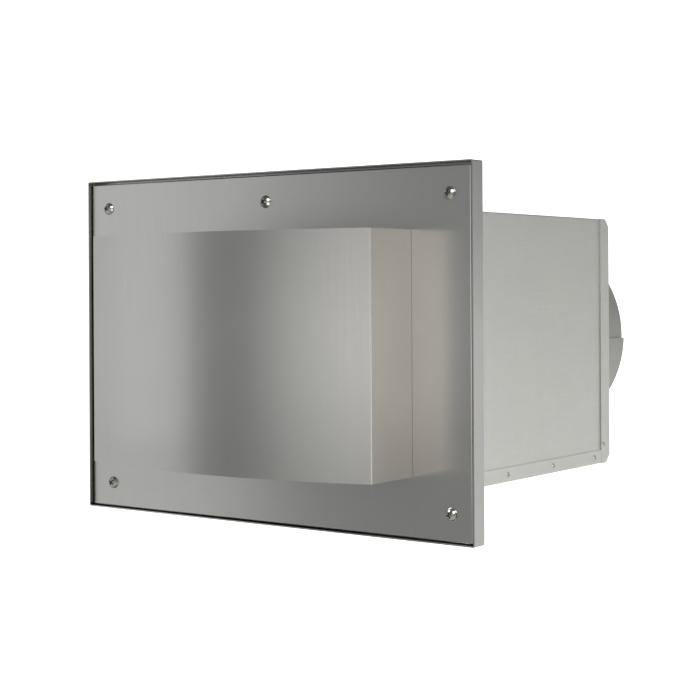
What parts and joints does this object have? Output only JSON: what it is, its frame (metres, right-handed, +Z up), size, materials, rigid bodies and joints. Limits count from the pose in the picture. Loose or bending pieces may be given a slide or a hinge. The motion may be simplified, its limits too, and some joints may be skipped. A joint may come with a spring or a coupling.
{
  "type": "through-wall vent terminal",
  "caption": "Stainless through-wall vent terminal: bow-front hood on a framed plate, rectangular wall sleeve and round duct spigot with a split back-draught damper.",
  "frame": {"origin": "centre of the wall frame's rear face, which is the centre of its four wall screws", "axes": "+X to the right seen from outdoors, +Y into the wall towards the duct, +Z up"},
  "size_m": [0.462, 0.5953, 0.331],
  "materials": {
    "brushed_stainless": "vertical brushed grain, satin",
    "mill_stainless": "mill finish, dull",
    "polished_stainless": "polished",
    "duct_steel": "galvanised, dull grey",
    "rivet_steel": "dull",
    "spring_steel": "bright drawn wire",
    "blade_aluminium": "mill finish",
    "foam": "closed-cell foam",
    "silicone": "matte silicone",
    "nylon": "natural nylon"
  },
  "bodies": {
    "terminal": {"wall_frame": "brushed_stainless", "wall_foam": "foam", "cover_posts": "rivet_steel", "cover_plate": "brushed_stainless", "cover_foam": "foam", "cover_screws": "polished_stainless", "hood_shell": "brushed_stainless", "hood_lid": "brushed_stainless", "outlet_rim": "brushed_stainless", "outlet_screen": "mill_stainless", "screen_rivets": "rivet_steel", "sleeve_wrap": "mill_stainless", "sleeve_floor": "mill_stainless", "rear_tray": "mill_stainless", "strip_rivets": "rivet_steel", "tray_rivets": "rivet_steel", "spigot_rivets": "rivet_steel", "duct_spigot": "duct_steel", "spigot_ring": "mill_stainless", "damper_rod": "rivet_steel", "rod_bushes": "nylon", "rod_clips": "spring_steel", "damper_seat": "mill_stainless", "damper_seal": "silicone", "blade_stop": "mill_stainless"},
    "blade_right": {"damper_blade_right": "blade_aluminium", "damper_spring_right": "spring_steel"},
    "blade_left": {"damper_blade_left": "blade_aluminium", "damper_spring_left": "spring_steel"}
  },
  "joints": [
    {"name": "blade_right_swing", "type": "hinge", "parent": "terminal", "child": "blade_right", "pos_m": [0, 0.42, 0], "axis": [0, 0, -1], "range_deg": [0, 80], "stiffness_Nm_per_rad": 0.02, "springref_deg": -20.05},
    {"name": "blade_left_swing", "type": "hinge", "parent": "terminal", "child": "blade_left", "pos_m": [0, 0.42, 0], "axis": [0, 0, 1], "range_deg": [0, 80], "stiffness_Nm_per_rad": 0.02, "springref_deg": -20.05}
  ]
}
